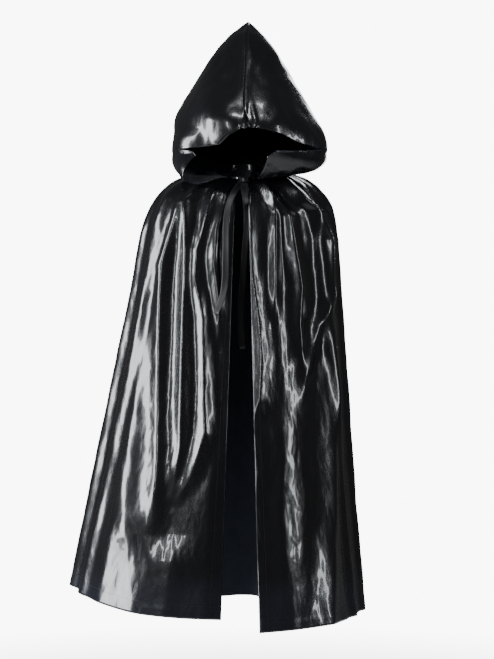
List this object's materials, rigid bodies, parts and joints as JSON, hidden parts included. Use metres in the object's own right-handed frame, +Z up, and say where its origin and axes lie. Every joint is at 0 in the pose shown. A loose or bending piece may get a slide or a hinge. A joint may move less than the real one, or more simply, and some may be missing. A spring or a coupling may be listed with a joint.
{
  "type": "hooded cape",
  "caption": "Adult hooded cape in wet-look coated cloth, with a standing hood, open front and a ribbon tied at the throat.",
  "frame": {"origin": "centre of the neck ring, where the cape sits round the wearer's neck", "axes": "+Z up; the front opening faces -Y; the wearer's right is -X and left is +X"},
  "size_m": [0.7224, 0.5698, 1.4822],
  "materials": {
    "coated_cloth": "black wet-look coating, high gloss, on knitted cloth",
    "cloth_back": "matte charcoal-navy knitted back of the coated cloth",
    "ribbon": "dark grey satin ribbon",
    "label": "blank white woven label"
  },
  "bodies": {
    "cape": {"back_panel": "coated_cloth", "right_front_panel": "coated_cloth", "left_front_panel": "coated_cloth", "neckband": "coated_cloth", "care_label": "label", "right_tie": "ribbon", "left_tie": "ribbon", "bow_knot": "ribbon", "short_tail": "ribbon"},
    "hood": {"hood_right": "coated_cloth", "hood_left": "coated_cloth"},
    "right_flap": {"right_front_flap": "coated_cloth", "right_front_facing": "cloth_back"},
    "left_flap": {"left_front_flap": "coated_cloth", "left_front_facing": "cloth_back"},
    "ribbon_ends": {"bow_loop": "ribbon", "long_tail": "ribbon"}
  },
  "joints": [
    {"name": "hood_tilt", "type": "hinge", "parent": "cape", "child": "hood", "pos_m": [0, 0.067, 0.033], "axis": [-1, 0, 0], "range_deg": [0, 65]},
    {"name": "right_front_open", "type": "hinge", "parent": "cape", "child": "right_flap", "pos_m": [-0.08732, -0.12814, -0.13982], "axis": [-0.1959, -0.0961, -0.9759], "range_deg": [0, 45], "deforming": ["short_tail"]},
    {"name": "left_front_open", "type": "hinge", "parent": "cape", "child": "left_flap", "pos_m": [0.08035, -0.12613, -0.13983], "axis": [-0.1333, 0.1105, 0.9849], "range_deg": [0, 45]},
    {"name": "ribbon_swing", "type": "hinge", "parent": "cape", "child": "ribbon_ends", "pos_m": [0.003, -0.101, -0.0315], "axis": [-1, 0, 0], "range_deg": [0, 60]}
  ]
}
